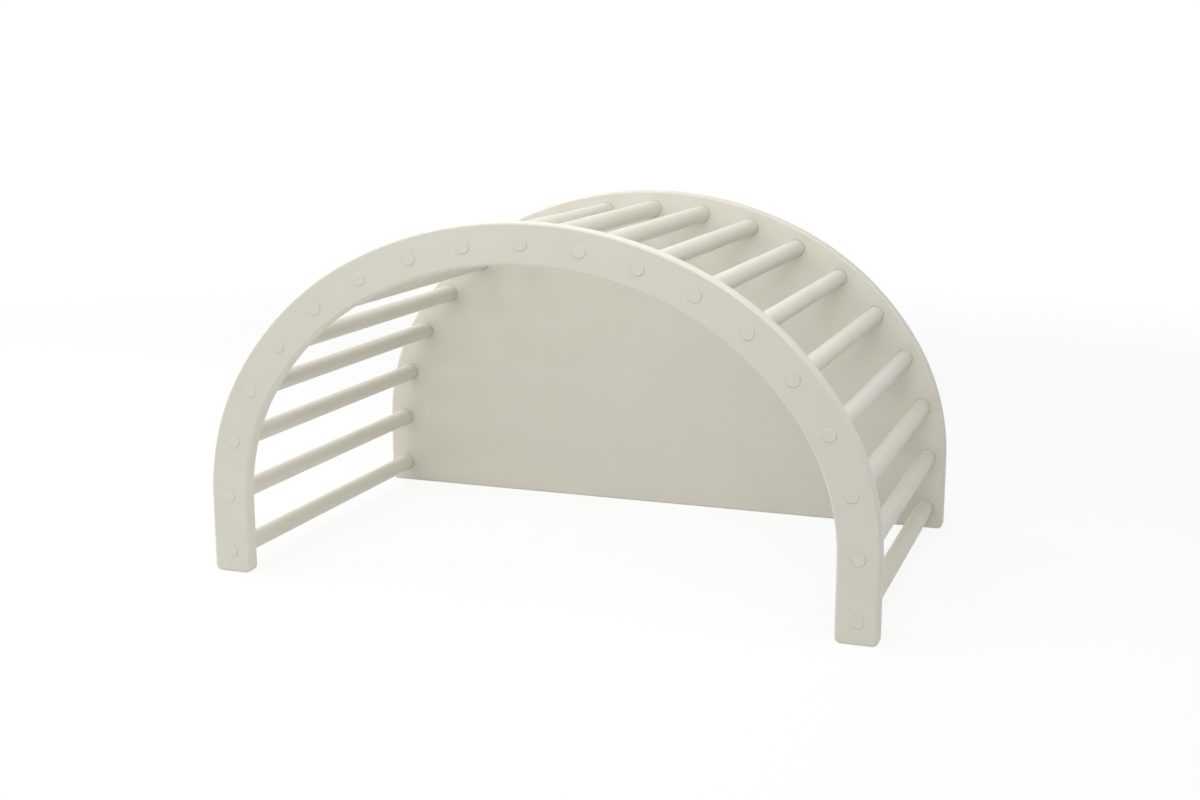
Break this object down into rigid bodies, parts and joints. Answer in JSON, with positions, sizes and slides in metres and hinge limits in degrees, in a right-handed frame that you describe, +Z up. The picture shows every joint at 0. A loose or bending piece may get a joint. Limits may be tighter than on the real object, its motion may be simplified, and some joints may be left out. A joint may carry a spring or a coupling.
{
  "type": "climbing rocker arch",
  "caption": "Painted wooden climbing arch: an open front band and a solid back board joined by round rungs; turned over, it rocks on its curved edges.",
  "frame": {"origin": "middle of the footprint, on the floor, between the front board and the back board", "axes": "+X across the arch, from the left foot to the right foot as seen from the open front; +Y from the open front to the solid back board; +Z up"},
  "size_m": [1.02, 0.6256, 0.55],
  "materials": {
    "painted_board": "24 mm plywood with a satin off-white paint",
    "painted_rung": "turned beech with a satin off-white paint",
    "painted_plug": "turned wooden cover plug, painted with the board",
    "screw_steel": "zinc plated"
  },
  "bodies": {
    "root": {"front_arch": "painted_board", "back_board": "painted_board", "rung_01": "painted_rung", "rung_02": "painted_rung", "rung_03": "painted_rung", "rung_04": "painted_rung", "rung_05": "painted_rung", "rung_06": "painted_rung", "rung_07": "painted_rung", "rung_08": "painted_rung", "rung_09": "painted_rung", "rung_10": "painted_rung", "rung_11": "painted_rung", "rung_12": "painted_rung", "rung_13": "painted_rung", "rung_14": "painted_rung", "rung_15": "painted_rung", "rung_16": "painted_rung", "rung_17": "painted_rung", "rung_18": "painted_rung", "rung_19": "painted_rung", "front_screws": "screw_steel", "back_screws": "screw_steel", "front_plugs": "painted_plug", "back_plugs": "painted_plug"}
  },
  "joints": []
}
